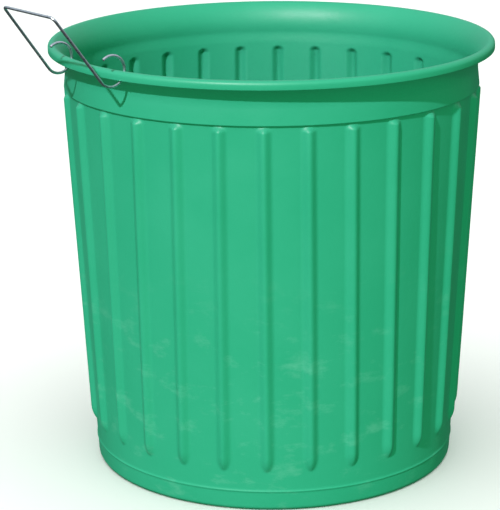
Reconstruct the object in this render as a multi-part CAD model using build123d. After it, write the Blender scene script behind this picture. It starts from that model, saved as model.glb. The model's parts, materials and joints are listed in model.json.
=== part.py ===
"""Open-top litter barrel with a bent wire handle, in millimetres.

The barrel is one hollow moulding with an even wall: a flat floor, a side that leans out and
is stiffened by hollow ribs, a plain neck band, and a flared rim whose lip turns down.
The handle is one length of round wire. Each end is bent into an open ring, which goes
through a hole in the flare and round the lip, so the handle swings about the rings' centre.

The origin is the centre of the underside, +Z is up, and the handle is at -X.
"""

import os
from math import acos, atan2, cos, degrees, hypot, radians, sin, sqrt, tan

from build123d import *

# Barrel
HEIGHT = 740.0            # floor to the crest of the rim
RIM_RADIUS = 381.0        # centre to the outer face of the lip
WALL = 4.5
DRAFT = 3.2               # degrees that the side leans out
HEEL_INSIDE = 3.5         # radius between floor and side, inside

# Rim and neck
ROLL_INSIDE = 3.1         # radius under the crest, where the rim turns over
LIP_DEPTH = 14.7          # crest to the lower edge of the lip
LIP_OVERHANG = 28.0       # narrowest part of the neck to the outer face of the lip
FLARE_DEPTH = 45.0        # crest to the narrowest part of the neck
NECK_LEAN = 6.0           # degrees that the neck leans out again below there
NECK_DEPTH = 77.0         # crest to the shoulder under the neck band
SHOULDER = 5.0            # how far the neck band stands out over the side
SHOULDER_EDGE = 1.5       # radius on the shoulder's edge
LEDGE_RUN = 20.0          # height over which the inside slopes behind the shoulder

# Ribs on the side, hollow inside
RIB_COUNT = 28
RIB_START = 49.1          # degrees from +X to the first rib, in the middle of a mould half
RIB_GATHER = 1.2          # degrees by which ribs 45 degrees off a middle stand nearer to it
RIB_TILT = 2.0            # degrees that the same ribs are tilted, to run almost parallel to it
RIB_RADIUS = 16.0         # outside of the round section
RIB_HEIGHT = 8.5          # how far the crest of a rib stands off the side
RIB_TOP_GAP = 1.5         # shoulder to the round top of a rib
RIB_FOOT = 69.0           # floor to the tip of a rib
RIB_BEND = 32.0           # centre-line radius on which the foot of a rib dives into the side

# Raised parting line round the foot of the side, where the mould's base meets its side
PARTING_HEIGHT = 34.0     # floor to its crest
PARTING_PROUD = 1.2
PARTING_ABOVE = 3.0       # run of its upper slope
PARTING_BELOW = 2.0       # run of its lower slope

# Handle
WIRE = 4.8                # diameter
RING_RADIUS = 25.0        # centre line of the open rings
RING_END = 53.0           # degrees above level at which a ring's free end stops
LIP_CLEARANCE = 0.8       # wire to the lower inner edge of the lip
HOOK_SPACING = 150.0      # between the two rings
HOLE_INSET = 6.0          # crest of the rim to the centre of a hole, towards the mouth
HOLE_CLEARANCE = 2.7      # hole diameter over the wire's
ARM_ANGLE = 53.0          # degrees above level, pointing out from the rim
ARM_LENGTH = 139.0        # ring to the centre line of the grip
GRIP_LENGTH = 143.0       # between the centre lines of the arms at the grip
KNEE_DISTANCE = 6.0       # ring to where an arm starts to lean towards the other one
KNEE_RADIUS = 40.0
CORNER_RADIUS = 9.0       # centre line, between arm and grip

# Rim geometry that the handle shares: centres of the roll and of the flare's arc
ROLL_OUTSIDE = ROLL_INSIDE + WALL
CREST_RADIUS = RIM_RADIUS - ROLL_OUTSIDE
ROLL_Z = HEIGHT - ROLL_OUTSIDE
LIP_Z = HEIGHT - LIP_DEPTH
NECK_RADIUS = RIM_RADIUS - LIP_OVERHANG
FLARE_Z = HEIGHT - FLARE_DEPTH
SHOULDER_Z = HEIGHT - NECK_DEPTH


def flare_arc():
    """Inner radius and span in degrees of the arc that joins the neck to the roll."""
    out = CREST_RADIUS - (NECK_RADIUS - WALL)
    up = ROLL_Z - FLARE_Z
    radius = (out ** 2 + up ** 2 - ROLL_OUTSIDE ** 2) / (2 * (out - ROLL_OUTSIDE))
    return radius, degrees(atan2(up, radius - out))


FLARE_RADIUS, FLARE_SPAN = flare_arc()
FLARE_CENTRE = NECK_RADIUS - WALL + FLARE_RADIUS


def neck_radius(z, inset=0.0):
    """Radius of the leaning part of the neck at height z; it runs on from the flare's arc."""
    lean = radians(NECK_LEAN)
    return FLARE_CENTRE - (FLARE_RADIUS - WALL + inset) / cos(lean) - (z - FLARE_Z) * tan(lean)


def side_radius(z, inset=0.0):
    """Radius of the side at height z, on a surface that lies inset below its outer face."""
    at_shoulder = neck_radius(SHOULDER_Z) - SHOULDER
    return at_shoulder - (SHOULDER_Z - z) * tan(radians(DRAFT)) - inset / cos(radians(DRAFT))


def half_profile(inset, heel, ledge_run):
    """Two chains of lines, inset inside the barrel's outer face, up to the foot of the flare.

    One goes from the axis along the floor and up the side. The other goes over the shoulder
    and up the neck. The inside and the outside of the barrel are both drawn from them.
    """
    floor, shoulder = inset, SHOULDER_Z + inset
    neck, bend = shoulder + ledge_run, FLARE_Z - (FLARE_RADIUS - WALL + inset) * sin(radians(NECK_LEAN))
    lower = FilletPolyline(
        (0, floor), (side_radius(floor, inset), floor), (side_radius(shoulder, inset), shoulder),
        radius=heel,
    )
    upper = Polyline(
        (side_radius(shoulder, inset), shoulder), (neck_radius(neck, inset), neck),
        (neck_radius(bend, inset), bend),
    )
    return lower, upper


def outer_solid():
    """The barrel's outside, filled, with the gap under the lip left open."""
    lower, upper = half_profile(0, HEEL_INSIDE + WALL, 0)
    under_flare = CenterArc(
        (FLARE_CENTRE, FLARE_Z), FLARE_RADIUS - WALL, 180 + NECK_LEAN, -NECK_LEAN - FLARE_SPAN
    )
    under_roll = CenterArc((CREST_RADIUS, ROLL_Z), ROLL_INSIDE, 180 - FLARE_SPAN, FLARE_SPAN - 180)
    lip = Polyline(
        (RIM_RADIUS - WALL, ROLL_Z), (RIM_RADIUS - WALL, LIP_Z), (RIM_RADIUS, LIP_Z), (RIM_RADIUS, ROLL_Z)
    )
    over_roll = CenterArc((CREST_RADIUS, ROLL_Z), ROLL_OUTSIDE, 0, 90)
    close = Polyline((CREST_RADIUS, HEIGHT), (0, HEIGHT), (0, 0))
    edges = lower.edges() + upper.edges() + [under_flare, under_roll] + lip.edges()
    face = make_face(edges + [over_roll] + close.edges())
    shoulder_edge = face.vertices().sort_by_distance((neck_radius(SHOULDER_Z), SHOULDER_Z))[0]
    return revolve(Plane.XZ * fillet(shoulder_edge, SHOULDER_EDGE), Axis.Z)


def cavity():
    """The barrel's inside as a solid, open at the crest of the rim."""
    lower, upper = half_profile(WALL, HEEL_INSIDE, LEDGE_RUN)
    flare = CenterArc((FLARE_CENTRE, FLARE_Z), FLARE_RADIUS, 180 + NECK_LEAN, -NECK_LEAN - FLARE_SPAN)
    roll = CenterArc((CREST_RADIUS, ROLL_Z), ROLL_OUTSIDE, 180 - FLARE_SPAN, FLARE_SPAN - 90)
    close = Polyline((CREST_RADIUS, HEIGHT), (0, HEIGHT), (0, WALL))
    edges = lower.edges() + upper.edges() + [flare, roll] + close.edges()
    return revolve(Plane.XZ * make_face(edges), Axis.Z)


def rib(radius):
    """One rib at +X as a round bar: a straight run, a domed top and a foot bent inwards."""
    depth = RIB_RADIUS - RIB_HEIGHT
    crest_bend = RIB_BEND + RIB_RADIUS
    run_out = sqrt(crest_bend ** 2 - (crest_bend - RIB_HEIGHT) ** 2)
    top_z = SHOULDER_Z - RIB_TOP_GAP - sqrt(RIB_RADIUS ** 2 - depth ** 2)
    top = Vector(side_radius(top_z, depth), 0, top_z)
    foot = Vector(side_radius(RIB_FOOT + run_out, depth), 0, RIB_FOOT + run_out)
    down = (foot - top).normalized()
    inward = Vector(down.Z, 0, -down.X)
    bend_end = foot + (down + inward) * RIB_BEND
    path = Wire([Edge.make_line(top, foot), Edge.make_tangent_arc(foot, down, bend_end)])
    bar = sweep(Plane(origin=top, z_dir=down) * Circle(radius), path=path)
    return bar + Pos(*top) * Sphere(radius)


def rib_place(index):
    """Place of one rib: turned about the axis, and tilted about a level line through it."""
    turn = 360 / RIB_COUNT * index
    share = sin(radians(2 * turn))
    middle = (RIB_FOOT + SHOULDER_Z) / 2
    tilt = Pos(0, 0, middle) * Rot(RIB_TILT * share, 0, 0) * Pos(0, 0, -middle)
    return Rot(0, 0, RIB_START + turn - RIB_GATHER * share) * tilt


def parting_line():
    """Low ridge round the foot of the side, rooted in the middle of the wall."""
    z = PARTING_HEIGHT
    crest = (side_radius(z) + PARTING_PROUD, z)
    above = (side_radius(z + PARTING_ABOVE), z + PARTING_ABOVE)
    root = (side_radius(z, WALL / 2), z)
    below = (side_radius(z - PARTING_BELOW), z - PARTING_BELOW)
    return revolve(Plane.XZ * make_face(Polyline(crest, above, root, below, crest)), Axis.Z)


def in_plane(radius):
    """How far out a circle about the barrel's axis is, in the plane of a ring."""
    return sqrt(radius ** 2 - (HOOK_SPACING / 2) ** 2)


def hole_point():
    """Where a ring's centre line goes through the middle of the flare's wall: out, up."""
    middle = FLARE_RADIUS - WALL / 2
    radius = CREST_RADIUS - HOLE_INSET
    angle = acos((FLARE_CENTRE - radius) / middle)
    return in_plane(radius), FLARE_Z + middle * sin(angle)


def ring_centre():
    """Centre of the rings: each goes through its hole and just clears the lip's edge."""
    hole_out, hole_z = hole_point()
    lip_out, lip_z = in_plane(RIM_RADIUS - WALL), LIP_Z
    to_lip = RING_RADIUS - WIRE / 2 - LIP_CLEARANCE
    span = hypot(lip_out - hole_out, lip_z - hole_z)
    along = (RING_RADIUS ** 2 - to_lip ** 2 + span ** 2) / (2 * span)
    across = sqrt(RING_RADIUS ** 2 - along ** 2)
    step_out, step_up = (lip_out - hole_out) / span, (lip_z - hole_z) / span
    return (
        hole_out + along * step_out - across * step_up,
        hole_z + along * step_up + across * step_out,
    )


RING_OUT, RING_Z = ring_centre()


def hook_hole(side):
    """Drill for one hole, along the wire where it goes through the flare."""
    out, z = hole_point()
    place = Vector(-out, side * HOOK_SPACING / 2, z)
    to_centre = Vector(out - RING_OUT, 0, RING_Z - z)
    along = to_centre.cross(Vector(0, 1, 0))
    length = WALL + 2 * ROLL_OUTSIDE
    return Plane(origin=place, z_dir=along) * Cylinder((WIRE + HOLE_CLEARANCE) / 2, length)


def make_barrel():
    """The moulding, with its ribs, parting line and the two holes for the handle."""
    places = [rib_place(i) for i in range(RIB_COUNT)]
    outside = outer_solid().fuse(parting_line(), *[place * rib(RIB_RADIUS) for place in places])
    inside = cavity().fuse(*[place * rib(RIB_RADIUS - WALL) for place in places])
    return outside - inside - hook_hole(1) - hook_hole(-1)


def make_wire_handle():
    """One wire swept along ring, arm, grip, arm and ring."""
    arm_out, arm_up = cos(radians(ARM_ANGLE)), sin(radians(ARM_ANGLE))
    rings, ends, knees, corners = [], [], [], []
    for side in (1, -1):
        y = side * HOOK_SPACING / 2
        plane = Plane(origin=(-RING_OUT, y, RING_Z), x_dir=(-1, 0, 0), z_dir=(0, 1, 0))
        sweep_angle = 270 + ARM_ANGLE - RING_END
        ring = plane * CenterArc((0, 0), RING_RADIUS, RING_END, sweep_angle)
        end = ring @ 1
        rings.append(ring)
        ends.append(end)
        knees.append(end + Vector(-arm_out, 0, arm_up) * KNEE_DISTANCE)
        corner = end + Vector(-arm_out, 0, arm_up) * ARM_LENGTH
        corners.append(Vector(corner.X, side * GRIP_LENGTH / 2, corner.Z))
    middle = FilletPolyline(
        ends[0], knees[0], corners[0], corners[1], knees[1], ends[1],
        radius=[KNEE_RADIUS, CORNER_RADIUS, CORNER_RADIUS, KNEE_RADIUS],
    )
    path = Wire(rings[:1] + middle.edges() + rings[1:])
    return sweep(Plane(origin=path @ 0, z_dir=path % 0) * Circle(WIRE / 2), path=path)


def main():
    os.makedirs("parts", exist_ok=True)
    export_step(make_barrel(), "parts/barrel.step")
    export_step(make_wire_handle(), "parts/wire_handle.step")
    print(f"swing axis along Y through x {-RING_OUT:.2f}, z {RING_Z:.2f}")


main()
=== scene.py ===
# %% [markdown]
# # A ribbed litter barrel with a wire handle
#
# The barrel is one moulding of even wall. A bent wire is hooked through its rim.
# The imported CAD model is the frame: it says how large the barrel is and where the wire turns.
# Each step below says what the piece or finish is on the real object, and how it is made here.

# %% Load the frame
import json
from math import acos, atan2, cos, degrees, pi, radians, sin, sqrt, tan

import bmesh
import bpy
from mathutils import Matrix, Vector


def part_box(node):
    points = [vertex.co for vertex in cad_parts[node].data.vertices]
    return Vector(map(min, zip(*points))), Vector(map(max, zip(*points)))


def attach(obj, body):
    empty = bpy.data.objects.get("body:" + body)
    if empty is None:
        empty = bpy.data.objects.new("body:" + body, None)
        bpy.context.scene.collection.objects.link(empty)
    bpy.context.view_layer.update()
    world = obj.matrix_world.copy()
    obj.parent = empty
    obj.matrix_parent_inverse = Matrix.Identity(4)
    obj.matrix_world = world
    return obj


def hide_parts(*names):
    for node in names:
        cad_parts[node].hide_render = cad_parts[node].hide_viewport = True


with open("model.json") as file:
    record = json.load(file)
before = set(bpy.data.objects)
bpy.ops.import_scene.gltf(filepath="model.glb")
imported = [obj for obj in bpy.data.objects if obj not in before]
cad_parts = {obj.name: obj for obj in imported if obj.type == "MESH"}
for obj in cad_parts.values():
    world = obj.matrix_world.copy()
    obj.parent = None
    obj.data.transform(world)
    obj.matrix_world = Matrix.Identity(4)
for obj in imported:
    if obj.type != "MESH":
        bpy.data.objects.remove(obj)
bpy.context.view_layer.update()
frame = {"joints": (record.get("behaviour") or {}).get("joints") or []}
MM = 0.001
barrel_low, barrel_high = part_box("barrel")
hinge = frame["joints"][0]["pos_m"]
print("barrel", [round(v, 4) for v in barrel_high - barrel_low], "wire turns about", hinge)

# %% [markdown]
# ## Two helpers
#
# Colours are written as the hex values that a screen shows, so one function turns them into
# the linear numbers that light is worked out with. The other adds a node: its settings are
# keywords, and its inputs are either numbers or the sockets that feed them.

# %% Colour and node helpers
def linear(hex_colour):
    """An sRGB hex colour as linear red, green, blue and alpha."""
    parts = [int(hex_colour[i:i + 2], 16) / 255 for i in (1, 3, 5)]
    light = [c / 12.92 if c <= 0.04045 else ((c + 0.055) / 1.055) ** 2.4 for c in parts]
    return (*light, 1.0)


def add_node(tree, kind, inputs=None, **settings):
    """Adds a node, sets it up, and fills or links its inputs."""
    node = tree.nodes.new(kind)
    for name, value in settings.items():
        setattr(node, name, value)
    for key, value in (inputs or {}).items():
        if isinstance(value, bpy.types.NodeSocket):
            tree.links.new(value, node.inputs[key])
        else:
            node.inputs[key].default_value = value
    return node


print("mid green", [round(c, 3) for c in linear("#38BB8A")])

# %% [markdown]
# ## Camera
#
# The barrel is seen from a little over three and a half metres away and from above the rim,
# with a long lens, so its sides look almost parallel. The camera stands a little off the
# handle's side, and it is turned and rolled by less than a degree.

# %% Camera
CAMERA_AZIMUTH = radians(-38.8)     # 0 looks along +Y
CAMERA_DISTANCE = 3.604             # from the barrel's axis, along the ground
CAMERA_HEIGHT = 1.397
CAMERA_PITCH = radians(16.17)       # down
CAMERA_YAW = radians(0.61)          # to the left of the barrel's axis
CAMERA_ROLL = radians(0.407)        # clockwise
CAMERA_LENS = 150.5

forward_flat = Vector((-sin(CAMERA_AZIMUTH), cos(CAMERA_AZIMUTH), 0))
camera_place = -CAMERA_DISTANCE * forward_flat + Vector((0, 0, CAMERA_HEIGHT))
upright = Matrix.Rotation(CAMERA_AZIMUTH, 4, "Z") @ Matrix.Rotation(pi / 2 - CAMERA_PITCH, 4, "X")
aim = upright @ Matrix.Rotation(CAMERA_YAW, 4, "Y") @ Matrix.Rotation(-CAMERA_ROLL, 4, "Z")
camera_data = bpy.data.cameras.new("camera")
camera_data.lens = CAMERA_LENS
camera = bpy.data.objects.new("camera", camera_data)
camera.matrix_world = Matrix.Translation(camera_place) @ aim
bpy.context.scene.collection.objects.link(camera)
bpy.context.scene.camera = camera
print("camera at", [round(v, 3) for v in camera.location])

# %% [markdown]
# ## Finish of the barrel: rotationally moulded polyethylene
#
# Linear low-density polyethylene (LLDPE) is powder that melts against the wall of a hot
# turning mould. Its skin is satin, copies the blasted steel as a fine grain, and is never
# quite flat. The pigment is mixed in dry, so the green is slightly uneven. The plastic is
# soft, so use leaves pale scuffs, mostly low on the side and on the ribs.

# %% Rotomoulded polyethylene
def rotomoulded_polyethylene():
    material = bpy.data.materials.new("rotomoulded_lldpe_green")
    material.use_nodes = True
    tree = material.node_tree
    tree.nodes.clear()
    place = add_node(tree, "ShaderNodeTexCoord").outputs["Object"]
    cloud = add_node(tree, "ShaderNodeTexNoise", {"Vector": place, "Scale": 9.0, "Detail": 3.0})
    pigment = add_node(tree, "ShaderNodeMix", {
        "Factor": cloud.outputs["Fac"], "A": linear("#2EA780"), "B": linear("#38AE89"),
    }, data_type="RGBA")
    stretched = add_node(tree, "ShaderNodeMapping", {"Vector": place, "Scale": (1.0, 1.0, 2.2)})
    scuff = add_node(tree, "ShaderNodeTexNoise", {
        "Vector": stretched.outputs["Vector"], "Scale": 13.0, "Detail": 7.0, "Roughness": 0.7,
    })
    scuffed = add_node(tree, "ShaderNodeMapRange", {
        "Value": scuff.outputs["Fac"], "From Min": 0.55, "From Max": 0.74, "To Min": 0.0, "To Max": 0.32,
    })
    height = add_node(tree, "ShaderNodeSeparateXYZ", {"Vector": place})
    low = add_node(tree, "ShaderNodeMapRange", {
        "Value": height.outputs["Z"], "From Min": 0.26, "From Max": 0.44, "To Min": 1.0, "To Max": 0.0,
    })
    low_scuffs = add_node(tree, "ShaderNodeMath", {
        0: scuffed.outputs["Result"], 1: low.outputs["Result"],
    }, operation="MULTIPLY")
    colour = add_node(tree, "ShaderNodeMix", {
        "Factor": low_scuffs.outputs[0], "A": pigment.outputs["Result"], "B": linear("#8FD0B8"),
    }, data_type="RGBA")
    grain = add_node(tree, "ShaderNodeTexNoise", {"Vector": place, "Scale": 650.0, "Detail": 2.0})
    orange_peel = add_node(tree, "ShaderNodeTexNoise", {"Vector": place, "Scale": 90.0, "Detail": 2.0})
    fine = add_node(tree, "ShaderNodeBump", {
        "Height": grain.outputs["Fac"], "Strength": 0.25, "Distance": 0.2 * MM,
    })
    bump = add_node(tree, "ShaderNodeBump", {
        "Height": orange_peel.outputs["Fac"], "Strength": 0.35, "Distance": 0.8 * MM,
        "Normal": fine.outputs["Normal"],
    })
    gloss = add_node(tree, "ShaderNodeMapRange", {
        "Value": cloud.outputs["Fac"], "From Min": 0.3, "From Max": 0.7, "To Min": 0.42, "To Max": 0.52,
    })
    surface = add_node(tree, "ShaderNodeBsdfPrincipled", {
        "Base Color": colour.outputs["Result"], "Roughness": gloss.outputs["Result"],
        "IOR": 1.51, "Normal": bump.outputs["Normal"],
    })
    add_node(tree, "ShaderNodeOutputMaterial", {"Surface": surface.outputs["BSDF"]})
    return material


polyethylene = rotomoulded_polyethylene()
print("made", polyethylene.name)

# %% [markdown]
# ## Section of the barrel
#
# Every point of the barrel lies on one outline, turned about the axis: under the floor, up
# the outside, over the lip, down the inside and back to the axis. The outline is made from
# straight runs and arcs, and each of its points becomes one row of the mesh. Rows crowd
# together only where the shape bends. Three numbers ride on each row: how high the rib
# stands there, how far it reaches to each side, and how far up its rounded top the row lies.

# %% Sizes of the section
HEIGHT = barrel_high.z
RIM_RADIUS = (barrel_high.y - barrel_low.y) / 2
WALL = 4.5 * MM
LEAN = radians(3.2)                 # how far the side leans out
HEEL_INSIDE = 3.5 * MM
ROLL_INSIDE = 3.1 * MM
LIP_DEPTH = 14.7 * MM
LIP_OVERHANG = 28 * MM
FLARE_DEPTH = 45 * MM               # to the narrowest part of the neck
NECK_LEAN = radians(6)              # how far the neck leans out again below there
NECK_DEPTH = 77 * MM
SHOULDER = 5 * MM
SHOULDER_EDGE = 1.5 * MM
LEDGE_RUN = 24 * MM                 # height over which the inside passes behind the shoulder
LIP_EDGE = 0.9 * MM                 # radius left by trimming the lip

ROLL_OUTSIDE = ROLL_INSIDE + WALL
CREST_RADIUS = RIM_RADIUS - ROLL_OUTSIDE
ROLL_Z = HEIGHT - ROLL_OUTSIDE
LIP_Z = HEIGHT - LIP_DEPTH
NECK_RADIUS = RIM_RADIUS - LIP_OVERHANG
FLARE_Z = HEIGHT - FLARE_DEPTH
SHOULDER_Z = HEIGHT - NECK_DEPTH
flare_out = CREST_RADIUS - (NECK_RADIUS - WALL)
flare_up = ROLL_Z - FLARE_Z
FLARE_RADIUS = (flare_out ** 2 + flare_up ** 2 - ROLL_OUTSIDE ** 2) / (2 * (flare_out - ROLL_OUTSIDE))
FLARE_CENTRE = NECK_RADIUS - WALL + FLARE_RADIUS
FLARE_SPAN = degrees(atan2(flare_up, FLARE_RADIUS - flare_out))
print("flare radius", round(FLARE_RADIUS / MM, 1), "mm over", round(FLARE_SPAN, 1), "degrees")

# %% Sizes of the ribs
RIB_COUNT = 28
RIB_START = radians(49.1)           # from +X to the first rib, in the middle of a mould half
RIB_HEIGHT = 8.5 * MM
RIB_REACH = 15 * MM                 # from a rib's middle to where it has died into the side
RIB_DOME = 12 * MM                  # height of its rounded top
RIB_FOOT = 69 * MM
FOOT_BEND = 48 * MM                 # radius on which the crest dives into the side
TURN_AT_TOP = radians(-2.9)         # ribs 45 degrees off a middle, so that they run
TURN_AT_FOOT = radians(0.6)         # almost parallel to the one in the middle
DOME_Z = SHOULDER_Z - RIB_DOME
BEND_Z = RIB_FOOT + sqrt(FOOT_BEND ** 2 - (FOOT_BEND - RIB_HEIGHT) ** 2)
print("ribs run from", round(RIB_FOOT / MM), "to", round(SHOULDER_Z / MM), "mm up")

# %% Outline helpers
def neck_radius(z, inset=0.0):
    """Radius of the leaning part of the neck, on a surface inset inside its outer face."""
    flare = FLARE_RADIUS - WALL + inset
    return FLARE_CENTRE - flare / cos(NECK_LEAN) - (z - FLARE_Z) * tan(NECK_LEAN)


def side_radius(z, inset=0.0):
    """Radius of the side at height z, on a surface inset inside its outer face."""
    at_shoulder = neck_radius(SHOULDER_Z) - SHOULDER
    return at_shoulder - (SHOULDER_Z - z) * tan(LEAN) - inset / cos(LEAN)


def arc(centre, radius, start, end, steps):
    """Points on an arc, in degrees from level and outwards, both ends among them."""
    turns = [radians(start + (end - start) * i / steps) for i in range(steps + 1)]
    return [(centre[0] + radius * cos(t), centre[1] + radius * sin(t)) for t in turns]


def side_rows(inset):
    """Rows up the side from below the ribs to the shoulder, close where a rib starts or ends."""
    crest = FOOT_BEND - inset
    foot = [BEND_Z - crest * sin(radians(a)) for a in (48, 42, 38, 35, 32, 28, 24, 19, 13, 7, 0)]
    middle = [BEND_Z + (DOME_Z - BEND_Z) * i / 9 for i in range(1, 9)]
    dome = [DOME_Z + RIB_DOME * share for share in (0, 0.14, 0.28, 0.42, 0.56, 0.7, 0.82, 0.93)]
    return [(side_radius(z, inset), z) for z in foot + middle + dome]


def parting_line():
    """Low raised line where the mould's base plate met its side, steeper underneath."""
    z, proud = 34 * MM, 1.2 * MM
    steps = [(-4, 0), (-2, 0.1), (-1, 0.65), (-0.2, 1), (0.6, 0.92), (1.8, 0.4), (3, 0.04), (6, 0)]
    return [(side_radius(z + up * MM) + share * proud, z + up * MM) for up, share in steps]


def outline():
    """The closed section from the axis under the floor to the axis inside it: radius, height."""
    heel = HEEL_INSIDE + WALL
    heel_at = (side_radius(heel) - heel / cos(LEAN), heel)
    inner_heel_at = (heel_at[0], heel)
    under = [(r * heel_at[0], 0) for r in (0, 0.5, 0.9)]
    outside = under + arc(heel_at, heel, -90, -degrees(LEAN), 6) + parting_line() + side_rows(0)
    corner = [(side_radius(SHOULDER_Z - 0.6 * MM), SHOULDER_Z - 0.6 * MM)]
    corner += arc((side_radius(SHOULDER_Z) + 0.6 * MM, SHOULDER_Z - 0.6 * MM), 0.6 * MM, 150, 90, 2)
    edge_z = SHOULDER_Z + SHOULDER_EDGE
    edge_at = (neck_radius(edge_z) - SHOULDER_EDGE / cos(NECK_LEAN), edge_z)
    shoulder = arc(edge_at, SHOULDER_EDGE, -90, degrees(NECK_LEAN), 5)
    flare_at, roll_at = (FLARE_CENTRE, FLARE_Z), (CREST_RADIUS, ROLL_Z)
    turn = 180 - FLARE_SPAN
    neck = 180 + degrees(NECK_LEAN)
    under_rim = arc(flare_at, FLARE_RADIUS - WALL, neck, turn, 8) + arc(roll_at, ROLL_INSIDE, turn, 0, 7)[1:]
    lip = arc((RIM_RADIUS - WALL + LIP_EDGE, LIP_Z + LIP_EDGE), LIP_EDGE, 180, 270, 3)
    lip += arc((RIM_RADIUS - LIP_EDGE, LIP_Z + LIP_EDGE), LIP_EDGE, 270, 360, 3)
    over_rim = arc(roll_at, ROLL_OUTSIDE, 0, turn, 12) + arc(flare_at, FLARE_RADIUS, turn, neck, 9)[1:]
    top, foot = neck_radius(SHOULDER_Z + LEDGE_RUN, WALL), side_radius(SHOULDER_Z, WALL)
    shares = [i / 8 for i in range(8, -1, -1)]
    ledge = [
        (foot + (top - foot) * share ** 2 * (3 - 2 * share), SHOULDER_Z + LEDGE_RUN * share)
        for share in shares
    ]
    inside = side_rows(WALL)[::-1] + arc(inner_heel_at, HEEL_INSIDE, -degrees(LEAN), -90, 4)
    inside += [(r * heel_at[0], WALL) for r in (0.9, 0.5, 0)]
    return outside + corner + shoulder + under_rim + lip + over_rim + ledge + inside


rows = outline()
print(len(rows), "rows in the section")

# %% [markdown]
# ## One pitch of the barrel
#
# A lathe would turn the outline, but the ribs are not round the axis. The barrel repeats,
# though: one wedge with a rib down its middle comes 28 times. So one wedge is made here as a
# plain grid, with a row for each point of the outline and columns that stand closer across
# the rib than across most of the panel. The wedge is still smooth.
# It only carries the numbers that the next step needs to raise the rib.

# %% Columns across one wedge
RIB_STEPS = (0.13, 0.27, 0.41, 0.55, 0.69, 0.84, 1)     # from the rib's middle to its edge
PANEL_STEPS = (0.06, 0.22, 0.54, 1)                 # from there to the middle of the panel
MIDDLE_RADIUS = side_radius(SHOULDER_Z / 2)
half_pitch = pi / RIB_COUNT * MIDDLE_RADIUS
half_across = [RIB_REACH * step for step in RIB_STEPS]
half_across += [RIB_REACH + (half_pitch - RIB_REACH) * step for step in PANEL_STEPS]
across = [-x for x in reversed(half_across)] + [0] + half_across
print(len(across) - 1, "columns in a wedge of", round(2 * half_pitch / MM, 1), "mm")

# %% The rib at each row
NO_RIB = (0.0, RIB_REACH, 0.0)


def rib_at(row, inset):
    """The rib where this row cuts it: height, reach, and how far up its dome, as if round."""
    radius, z = row
    crest = FOOT_BEND - inset
    into_foot = max(BEND_Z - z, 0)
    on_side = abs(radius - side_radius(z, inset)) < 0.1 * MM
    if not on_side or into_foot > 0.9 * crest or z >= SHOULDER_Z:
        return NO_RIB
    dive = crest - sqrt(crest ** 2 - into_foot ** 2)
    height = max(RIB_HEIGHT - dive, 0)
    reach = (RIB_REACH - 0.4 * inset) * max(height / RIB_HEIGHT, 0.04) ** 0.5
    return height, reach, max(z - DOME_Z, 0) * RIB_REACH / RIB_DOME


crest_row = max(range(len(rows)), key=lambda i: rows[i][1])
ribs = [rib_at(row, 0 if i < crest_row else WALL) for i, row in enumerate(rows)]
print(sum(height > 0 for height, _, _ in ribs), "rows cross a rib")

# %% The wedge as a grid
def wedge_mesh():
    """Rows of the outline by columns of the wedge, with the rib's numbers on every point."""
    mesh = bpy.data.meshes.new("wedge")
    turns = [x / MIDDLE_RADIUS for x in across]
    points = [(r * cos(t), r * sin(t), z) for r, z in rows for t in turns]
    wide = len(across)
    faces = [
        (i * wide + j, i * wide + j + 1, (i + 1) * wide + j + 1, (i + 1) * wide + j)
        for i in range(len(rows) - 1) for j in range(wide - 1)
    ]
    mesh.from_pydata(points, [], faces)
    on_points = {
        "across": [x for _ in rows for x in across],
        "rib_height": [height for height, _, _ in ribs for _ in across],
        "rib_reach": [reach for _, reach, _ in ribs for _ in across],
        "up_dome": [up for _, _, up in ribs for _ in across],
    }
    for name, values in on_points.items():
        mesh.attributes.new(name, "FLOAT", "POINT").data.foreach_set("value", values)
    return mesh


wedge = bpy.data.objects.new("wedge", wedge_mesh())
bpy.context.scene.collection.objects.link(wedge)
print("wedge of", len(wedge.data.polygons), "faces")

# %% [markdown]
# ## The barrel, by Geometry Nodes
#
# The tree does three things. It raises the rib by a rule: one wave of a cosine over the
# rib's distance from its middle, so that it dies softly into the side. That soft root is
# what powdered plastic leaves. Then it sets the wedge round the axis and welds the copies
# into one shell. Last, a slow noise makes the wall wave by a few tenths of a millimetre,
# because a moulding that cools by itself is never quite true.

# %% Tree helpers
SOCKETS = {int: "NodeSocketInt", float: "NodeSocketFloat"}


def start_tree(name, sizes):
    """A new Geometry Nodes tree with one named input for each size; returns its inputs too."""
    tree = bpy.data.node_groups.new(name, "GeometryNodeTree")
    tree.interface.new_socket("Geometry", in_out="INPUT", socket_type="NodeSocketGeometry")
    tree.interface.new_socket("Geometry", in_out="OUTPUT", socket_type="NodeSocketGeometry")
    for size, value in sizes.items():
        tree.interface.new_socket(size, in_out="INPUT", socket_type=SOCKETS[type(value)])
    return tree, tree.nodes.new("NodeGroupInput").outputs


def finish_tree(tree, geometry, material):
    """Ends a tree with real, smooth mesh in its material."""
    real = add_node(tree, "GeometryNodeRealizeInstances", {"Geometry": geometry})
    smooth = add_node(tree, "GeometryNodeSetShadeSmooth", {"Geometry": real.outputs[0]})
    painted = add_node(tree, "GeometryNodeSetMaterial", {
        "Geometry": smooth.outputs[0], "Material": material,
    })
    add_node(tree, "NodeGroupOutput", {"Geometry": painted.outputs[0]})


def made_by(tree, sizes, source, name):
    """Runs the tree on the source and returns the result as a plain mesh object."""
    modifier = source.modifiers.new(tree.name, "NODES")
    modifier.node_group = tree
    for item in tree.interface.items_tree:
        if item.name in sizes:
            modifier[item.identifier] = sizes[item.name]
    graph = bpy.context.evaluated_depsgraph_get()
    mesh = bpy.data.meshes.new_from_object(source.evaluated_get(graph), depsgraph=graph)
    mesh.name = name
    bpy.data.objects.remove(source)
    made = bpy.data.objects.new(name, mesh)
    bpy.context.scene.collection.objects.link(made)
    return made


print("tree helpers ready")

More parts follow.
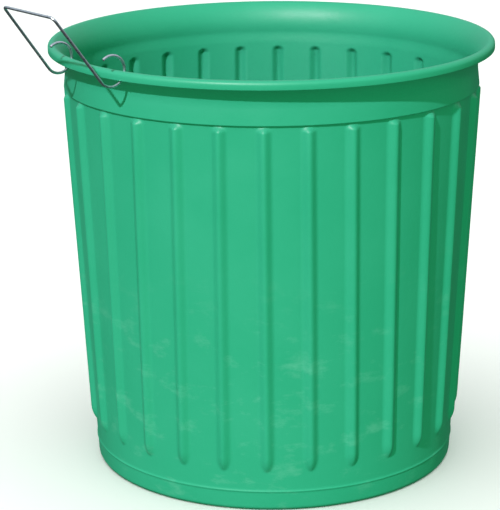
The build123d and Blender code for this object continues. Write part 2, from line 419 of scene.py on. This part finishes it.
# %% Barrel tree
def barrel_tree(sizes, material):
    tree, given = start_tree("ribbed_barrel", sizes)

    # Height of the rib: one wave of a cosine, from its crest to where it has died away
    full = add_node(tree, "GeometryNodeInputNamedAttribute", {"Name": "rib_height"}).outputs[0]
    reach = add_node(tree, "GeometryNodeInputNamedAttribute", {"Name": "rib_reach"}).outputs[0]
    up = add_node(tree, "GeometryNodeInputNamedAttribute", {"Name": "up_dome"}).outputs[0]
    out = add_node(tree, "GeometryNodeInputNamedAttribute", {"Name": "across"}).outputs[0]
    off = add_node(tree, "ShaderNodeCombineXYZ", {"X": out, "Y": up})
    distance = add_node(tree, "ShaderNodeVectorMath", {0: off.outputs[0]}, operation="LENGTH")
    share = add_node(tree, "ShaderNodeMath", {
        0: distance.outputs["Value"], 1: reach,
    }, operation="DIVIDE", use_clamp=True)
    phase = add_node(tree, "ShaderNodeMath", {0: share.outputs[0], 1: pi}, operation="MULTIPLY")
    wave = add_node(tree, "ShaderNodeMath", {0: phase.outputs[0]}, operation="COSINE")
    rise = add_node(tree, "ShaderNodeMath", {
        0: wave.outputs[0], 1: 0.5, 2: 0.5,
    }, operation="MULTIPLY_ADD")
    height = add_node(tree, "ShaderNodeMath", {0: rise.outputs[0], 1: full}, operation="MULTIPLY")

    # The rib stands square to the leaning side
    place = add_node(tree, "GeometryNodeInputPosition").outputs[0]
    level = add_node(tree, "ShaderNodeVectorMath", {0: place, 1: (1, 1, 0)}, operation="MULTIPLY")
    outwards = add_node(tree, "ShaderNodeVectorMath", {0: level.outputs[0]}, operation="NORMALIZE")
    leaning = add_node(tree, "ShaderNodeVectorMath", {
        0: outwards.outputs[0], 1: (cos(LEAN),) * 3, 2: (0, 0, -sin(LEAN)),
    }, operation="MULTIPLY_ADD")
    lift = add_node(tree, "ShaderNodeVectorMath", {
        0: leaning.outputs[0], "Scale": height.outputs[0],
    }, operation="SCALE")
    ribbed = add_node(tree, "GeometryNodeSetPosition", {
        "Geometry": given["Geometry"], "Offset": lift.outputs[0],
    })

    # One copy for each rib, turned about the axis
    copies = add_node(tree, "GeometryNodeMeshLine", {
        "Count": given["Ribs"], "Offset": (0, 0, 0),
    })
    pitch = add_node(tree, "ShaderNodeMath", {0: 2 * pi, 1: given["Ribs"]}, operation="DIVIDE")
    which = add_node(tree, "GeometryNodeInputIndex")
    turn = add_node(tree, "ShaderNodeMath", {
        0: which.outputs[0], 1: pitch.outputs[0], 2: given["First rib"],
    }, operation="MULTIPLY_ADD")
    rotation = add_node(tree, "ShaderNodeCombineXYZ", {"Z": turn.outputs[0]})
    ring = add_node(tree, "GeometryNodeInstanceOnPoints", {
        "Points": copies.outputs[0], "Instance": ribbed.outputs[0], "Rotation": rotation.outputs[0],
    })
    real = add_node(tree, "GeometryNodeRealizeInstances", {"Geometry": ring.outputs[0]})
    welded = add_node(tree, "GeometryNodeMergeByDistance", {
        "Geometry": real.outputs[0], "Distance": 0.01 * MM,
    })

    # Ribs gather towards the middle of each mould half at the top, and spread at the foot
    spot = add_node(tree, "ShaderNodeSeparateXYZ", {"Vector": place})
    azimuth = add_node(tree, "ShaderNodeMath", {
        0: spot.outputs["Y"], 1: spot.outputs["X"],
    }, operation="ARCTAN2")
    from_middle = add_node(tree, "ShaderNodeMath", {
        0: azimuth.outputs[0], 1: given["First rib"],
    }, operation="SUBTRACT")
    twice = add_node(tree, "ShaderNodeMath", {0: from_middle.outputs[0], 1: 2.0}, operation="MULTIPLY")
    part = add_node(tree, "ShaderNodeMath", {0: twice.outputs[0]}, operation="SINE")
    most = add_node(tree, "ShaderNodeMapRange", {
        "Value": spot.outputs["Z"], "From Min": RIB_FOOT, "From Max": SHOULDER_Z,
        "To Min": given["Turn at foot"], "To Max": given["Turn at top"],
    })
    gather = add_node(tree, "ShaderNodeMath", {
        0: part.outputs[0], 1: most.outputs["Result"],
    }, operation="MULTIPLY")
    turned = add_node(tree, "ShaderNodeVectorRotate", {
        "Vector": place, "Angle": gather.outputs[0],
    }, rotation_type="Z_AXIS")
    gathered = add_node(tree, "GeometryNodeSetPosition", {
        "Geometry": welded.outputs[0], "Position": turned.outputs[0],
    })

    # Cooling leaves the wall a little wavy
    noise = add_node(tree, "ShaderNodeTexNoise", {
        "Vector": place, "W": given["Seed"], "Scale": given["Waves per metre"], "Detail": 1.0,
    }, noise_dimensions="4D")
    swing = add_node(tree, "ShaderNodeMath", {0: noise.outputs[0], 1: 0.5}, operation="SUBTRACT")
    amount = add_node(tree, "ShaderNodeMath", {
        0: swing.outputs[0], 1: given["Waviness"],
    }, operation="MULTIPLY")
    in_and_out = add_node(tree, "ShaderNodeVectorMath", {
        0: level.outputs[0], "Scale": amount.outputs[0],
    }, operation="SCALE")
    wavy = add_node(tree, "GeometryNodeSetPosition", {
        "Geometry": gathered.outputs[0], "Offset": in_and_out.outputs[0],
    })
    finish_tree(tree, wavy.outputs[0], material)
    return tree


BARREL_SIZES = {
    "Ribs": RIB_COUNT,
    "First rib": RIB_START,
    "Turn at top": TURN_AT_TOP,
    "Turn at foot": TURN_AT_FOOT,
    "Waves per metre": 5.0,
    "Waviness": 0.003,              # of the radius, so about 1 mm at the side
    "Seed": 4.0,
}
barrel = made_by(barrel_tree(BARREL_SIZES, polyethylene), BARREL_SIZES, wedge, "moulded_barrel")
print("barrel of", len(barrel.data.polygons), "faces")

# %% [markdown]
# ## Holes for the handle
#
# The holes are drilled after moulding, square to nothing in particular: they follow the wire
# where it goes through the flare. A boolean with two drills cuts them, and only the edges it
# leaves are marked sharp, because the plastic round them is smooth.

# %% Where the wire goes
WIRE = 4.8 * MM
RING_RADIUS = 25 * MM
RING_END = radians(53)              # above level, where a ring's free end stops
LIP_CLEARANCE = 0.8 * MM
HOOK_SPACING = 150 * MM
HOLE_INSET = 6 * MM
HOLE = WIRE + 2.7 * MM
ring_out, ring_z = -hinge[0], hinge[2]
hole_turn = acos((FLARE_CENTRE - (CREST_RADIUS - HOLE_INSET)) / (FLARE_RADIUS - WALL / 2))
hole_out = sqrt((CREST_RADIUS - HOLE_INSET) ** 2 - (HOOK_SPACING / 2) ** 2)
hole_z = FLARE_Z + (FLARE_RADIUS - WALL / 2) * sin(hole_turn)
hole_along = Vector((ring_z - hole_z, 0, ring_out - hole_out)).normalized()
off_ring = sqrt((hole_out - ring_out) ** 2 + (hole_z - ring_z) ** 2) - RING_RADIUS
print("holes are", round(off_ring / MM, 2), "mm off the ring's centre line")

# %% Cut the holes
def drill(side):
    """A round bar through the flare, along the wire."""
    mesh = bpy.data.meshes.new("drill")
    form = bmesh.new()
    bmesh.ops.create_cone(
        form, cap_ends=True, segments=40, radius1=HOLE / 2, radius2=HOLE / 2, depth=26 * MM,
    )
    turned = Vector((0, 0, 1)).rotation_difference(hole_along).to_matrix().to_4x4()
    place = Matrix.Translation((-hole_out, side * HOOK_SPACING / 2, hole_z))
    form.transform(place @ turned)
    form.to_mesh(mesh)
    form.free()
    cutter = bpy.data.objects.new("drill", mesh)
    bpy.context.scene.collection.objects.link(cutter)
    return cutter


def cut(piece, cutter):
    """Takes the cutter away from the piece for good."""
    modifier = piece.modifiers.new("drill", "BOOLEAN")
    modifier.object = cutter
    modifier.operation = "DIFFERENCE"
    modifier.solver = "MANIFOLD"
    graph = bpy.context.evaluated_depsgraph_get()
    mesh = bpy.data.meshes.new_from_object(piece.evaluated_get(graph), depsgraph=graph)
    piece.modifiers.remove(modifier)
    piece.data = mesh
    bpy.data.objects.remove(cutter)


for side in (1, -1):
    cut(barrel, drill(side))
form = bmesh.new()
form.from_mesh(barrel.data)
open_edges = sum(not edge.is_manifold for edge in form.edges)
for edge in form.edges:
    middle = (edge.verts[0].co + edge.verts[1].co) / 2
    from_hole = Vector((middle.x + hole_out, abs(middle.y) - HOOK_SPACING / 2, middle.z - hole_z))
    at_rim = from_hole.cross(hole_along).length < HOLE / 2 + 0.1 * MM
    if at_rim and edge.is_manifold and edge.calc_face_angle() > radians(30):
        edge.smooth = False
form.to_mesh(barrel.data)
form.free()
triangles = sum(len(face.vertices) - 2 for face in barrel.data.polygons)
print("barrel of", triangles, "triangles,", open_edges, "open edges")

# %% [markdown]
# ## Finish of the wire: galvanised drawn steel
#
# The wire is drawn through a die, which leaves fine lines along it, and coated with zinc,
# which dulls it to an uneven grey. So it is a rough metal whose roughness and bump stretch
# along the wire. The lines follow two attributes of the mesh: the place round the section
# and the distance along the wire.

# %% Galvanised wire
def galvanised_wire():
    material = bpy.data.materials.new("galvanised_drawn_wire")
    material.use_nodes = True
    tree = material.node_tree
    tree.nodes.clear()
    place = add_node(tree, "ShaderNodeTexCoord").outputs["Object"]
    section_place = add_node(tree, "ShaderNodeAttribute", {}, attribute_name="round_section")
    along = add_node(tree, "ShaderNodeAttribute", {}, attribute_name="along_wire")
    slow = add_node(tree, "ShaderNodeMath", {0: along.outputs["Fac"], 1: 0.04}, operation="MULTIPLY")
    lift = add_node(tree, "ShaderNodeCombineXYZ", {"Z": slow.outputs[0]})
    drawn = add_node(tree, "ShaderNodeVectorMath", {
        0: section_place.outputs["Vector"], 1: lift.outputs[0],
    }, operation="ADD")
    lines = add_node(tree, "ShaderNodeTexNoise", {
        "Vector": drawn.outputs[0], "Scale": 2500.0, "Detail": 2.0,
    })
    bloom = add_node(tree, "ShaderNodeTexNoise", {"Vector": place, "Scale": 220.0, "Detail": 4.0})
    zinc = add_node(tree, "ShaderNodeMix", {
        "Factor": bloom.outputs["Fac"], "A": linear("#A4ABB3"), "B": linear("#DCE2E8"),
    }, data_type="RGBA")
    dull = add_node(tree, "ShaderNodeMapRange", {
        "Value": bloom.outputs["Fac"], "From Min": 0.3, "From Max": 0.7, "To Min": 0.24, "To Max": 0.4,
    })
    bump = add_node(tree, "ShaderNodeBump", {
        "Height": lines.outputs["Fac"], "Strength": 0.4, "Distance": 0.1 * MM,
    })
    surface = add_node(tree, "ShaderNodeBsdfPrincipled", {
        "Base Color": zinc.outputs["Result"], "Metallic": 1.0,
        "Roughness": dull.outputs["Result"], "Normal": bump.outputs["Normal"],
    })
    add_node(tree, "ShaderNodeOutputMaterial", {"Surface": surface.outputs["BSDF"]})
    return material


galvanised = galvanised_wire()
print("made", galvanised.name)

# %% [markdown]
# ## The wire handle
#
# One length of wire is bent cold: a ring through the rim, an arm, the grip, an arm and the
# second ring. The route is drawn as a chain of points, where each ring is an arc and the
# corners are rounded by the radius of the bending pin. Geometry Nodes then run a round
# section along it, which keeps the wire the same thickness through every bend.

# %% Route of the wire
ARM_ANGLE = radians(53)
ARM_LENGTH = 139 * MM
GRIP_LENGTH = 143 * MM
KNEE_DISTANCE = 6 * MM
KNEE_BEND = 40 * MM
CORNER_BEND = 9 * MM
RING_TURN = radians(270)            # how far round each ring goes
RING_STEPS = 54


def ring_points(side):
    """One ring, from its free end round to the arm."""
    turns = [RING_END + RING_TURN * i / RING_STEPS for i in range(RING_STEPS + 1)]
    return [
        Vector((
            -ring_out - RING_RADIUS * cos(turn), side * HOOK_SPACING / 2, ring_z + RING_RADIUS * sin(turn),
        )) for turn in turns
    ]


def rounded(before, corner, after, radius, steps):
    """Points on the arc of that radius which rounds a corner."""
    back, on = (before - corner).normalized(), (after - corner).normalized()
    half = back.angle(on) / 2
    centre = corner + (back + on).normalized() * radius / sin(half)
    start = corner + back * radius / tan(half) - centre
    axis = start.cross(back).normalized()
    turn = pi - 2 * half
    return [centre + Matrix.Rotation(-turn * i / steps, 3, axis) @ start for i in range(steps + 1)]


arm = Vector((-cos(ARM_ANGLE), 0, sin(ARM_ANGLE)))
sides = []
for side in (1, -1):
    ring = ring_points(side)
    knee = ring[-1] + arm * KNEE_DISTANCE
    corner = ring[-1] + arm * ARM_LENGTH
    corner.y = side * GRIP_LENGTH / 2
    across_grip = corner - Vector((0, side * GRIP_LENGTH, 0))
    sides.append(
        ring[:-1]
        + rounded(ring[-1], knee, corner, KNEE_BEND, 4)
        + rounded(knee, corner, across_grip, CORNER_BEND, 12)
    )
route = sides[0] + sides[1][::-1]
length = sum((b - a).length for a, b in zip(route, route[1:]))
print("wire is", round(length / MM), "mm long")

# %% Wire tree
def wire_tree(sizes, material):
    tree, given = start_tree("bent_wire", sizes)
    curve = add_node(tree, "GeometryNodeMeshToCurve", {"Mesh": given["Geometry"]})
    thickness = add_node(tree, "GeometryNodeInputNamedAttribute", {"Name": "thickness"})
    shaped = add_node(tree, "GeometryNodeSetCurveRadius", {
        "Curve": curve.outputs[0], "Radius": thickness.outputs[0],
    })
    spot = add_node(tree, "GeometryNodeSplineParameter")
    measured = add_node(tree, "GeometryNodeStoreNamedAttribute", {
        "Geometry": shaped.outputs[0], "Name": "along_wire", "Value": spot.outputs["Length"],
    })
    radius = add_node(tree, "ShaderNodeMath", {0: given["Diameter"], 1: 2.0}, operation="DIVIDE")
    circle = add_node(tree, "GeometryNodeCurvePrimitiveCircle", {
        "Resolution": given["Sides"], "Radius": radius.outputs[0],
    })
    place = add_node(tree, "GeometryNodeInputPosition")
    profile = add_node(tree, "GeometryNodeStoreNamedAttribute", {
        "Geometry": circle.outputs[0], "Name": "round_section", "Value": place.outputs[0],
    }, data_type="FLOAT_VECTOR")
    swept = add_node(tree, "GeometryNodeCurveToMesh", {
        "Curve": measured.outputs[0], "Profile Curve": profile.outputs[0], "Fill Caps": True,
    })
    finish_tree(tree, swept.outputs[0], material)
    return tree


def route_object(points, end_steps):
    """The route as a chain of edges; each end is worn round over the first few steps."""
    ends = [
        points[0] + (points[1] - points[0]).normalized() * run for run, _ in end_steps
    ], [
        points[-1] + (points[-2] - points[-1]).normalized() * run for run, _ in reversed(end_steps)
    ]
    chain = ends[0] + points[1:-1] + ends[1]
    thick = [share for _, share in end_steps]
    thick += [1.0] * (len(points) - 2) + thick[::-1]
    mesh = bpy.data.meshes.new("route")
    mesh.from_pydata(chain, [(i, i + 1) for i in range(len(chain) - 1)], [])
    mesh.attributes.new("thickness", "FLOAT", "POINT").data.foreach_set("value", thick)
    chained = bpy.data.objects.new("route", mesh)
    bpy.context.scene.collection.objects.link(chained)
    return chained


WORN_END = ((0, 0.72), (0.25 * MM, 0.88), (0.7 * MM, 0.97), (1.3 * MM, 1.0))
WIRE_SIZES = {"Diameter": WIRE, "Sides": 20}
tree = wire_tree(WIRE_SIZES, galvanised)
handle = made_by(tree, WIRE_SIZES, route_object(route, WORN_END), "bent_wire_handle")
low = min(v.co.x for v in handle.data.vertices)
print("handle of", len(handle.data.polygons), "faces reaches out to", round(low, 4), "m")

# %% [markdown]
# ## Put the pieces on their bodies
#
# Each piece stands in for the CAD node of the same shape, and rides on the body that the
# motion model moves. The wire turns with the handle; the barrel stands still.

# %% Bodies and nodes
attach(barrel, "barrel")
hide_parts("barrel")
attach(handle, "handle")
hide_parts("wire_handle")

# %% [markdown]
# ## Floor, world and lights
#
# The barrel stands on a plain, nearly white floor. One small strong light from the left of
# the camera draws the crisp shadows of the lip and the wire, and a weak even world fills
# them. The floor has its own broad light from above, so it stays pale and carries only a
# soft shadow where the barrel stands, and the key light is kept off it.

# %% Floor
def plain_floor(size):
    mesh = bpy.data.meshes.new("floor")
    half = size / 2
    mesh.from_pydata([(-half, -half, 0), (half, -half, 0), (half, half, 0), (-half, half, 0)], [], [(0, 1, 2, 3)])
    floor = bpy.data.objects.new("floor", mesh)
    bpy.context.scene.collection.objects.link(floor)
    material = bpy.data.materials.new("pale_painted_floor")
    material.use_nodes = True
    surface = material.node_tree.nodes["Principled BSDF"]
    surface.inputs["Base Color"].default_value = linear("#F4F4F2")
    surface.inputs["Roughness"].default_value = 0.9
    mesh.materials.append(material)
    floor.visible_diffuse = False
    floor.visible_glossy = False
    return floor


floor = plain_floor(60.0)
print("floor at z = 0")

# %% Lights
def sun(name, azimuth, elevation, strength, angle, colour, receivers):
    """A distant light that comes from that direction and reaches only the receivers."""
    data = bpy.data.lights.new(name, "SUN")
    data.energy = strength
    data.color = linear(colour)[:3]
    data.angle = radians(angle)
    lamp = bpy.data.objects.new(name, data)
    across, up = cos(radians(elevation)), sin(radians(elevation))
    towards = Vector((cos(radians(azimuth)) * across, sin(radians(azimuth)) * across, up))
    lamp.rotation_euler = towards.to_track_quat("Z", "Y").to_euler()
    bpy.context.scene.collection.objects.link(lamp)
    lit = bpy.data.collections.new(name + "_receivers")
    for piece in receivers:
        lit.objects.link(piece)
    lamp.light_linking.receiver_collection = lit
    return lamp


sun("key", 208.2, 39, 3.1, 1.5, "#FFF2FF", (barrel,))
sun("wire_key", 208.2, 39, 6.0, 2.5, "#FFFFFF", (handle,))
sun("bounce_right", 276, 10, 1.0, 140, "#26FFB3", (barrel,))
sun("bounce_left", 176, 10, 0.6, 140, "#26FFB3", (barrel,))
sun("floor_light", 208.2, 80, 3.6, 80, "#FFFFFF", (floor,))

world = bpy.data.worlds.new("studio")
bpy.context.scene.world = world
world.use_nodes = True
tree = world.node_tree
tree.nodes.clear()
seen = add_node(tree, "ShaderNodeBackground", {"Color": linear("#FFFFFF"), "Strength": 1.0})
fill = add_node(tree, "ShaderNodeBackground", {"Color": linear("#CFF5E0"), "Strength": 0.22})
towards = add_node(tree, "ShaderNodeTexCoord").outputs["Generated"]
upwards = add_node(tree, "ShaderNodeSeparateXYZ", {"Vector": towards})
above = add_node(tree, "ShaderNodeMapRange", {
    "Value": upwards.outputs["Z"], "From Min": -0.1, "From Max": 0.5, "To Min": 0.0, "To Max": 1.0,
})
ceiling = add_node(tree, "ShaderNodeMix", {
    "Factor": above.outputs["Result"], "A": linear("#46504E"), "B": linear("#E8F1FA"),
}, data_type="RGBA")
mirrored = add_node(tree, "ShaderNodeBackground", {"Color": ceiling.outputs["Result"], "Strength": 0.9})
path = add_node(tree, "ShaderNodeLightPath")
either = add_node(tree, "ShaderNodeMixShader", {
    0: path.outputs["Is Glossy Ray"], 1: fill.outputs[0], 2: mirrored.outputs[0],
})
either = add_node(tree, "ShaderNodeMixShader", {
    0: path.outputs["Is Camera Ray"], 1: either.outputs[0], 2: seen.outputs[0],
})
add_node(tree, "ShaderNodeOutputWorld", {"Surface": either.outputs[0]})
bpy.context.scene.view_settings.view_transform = "Standard"
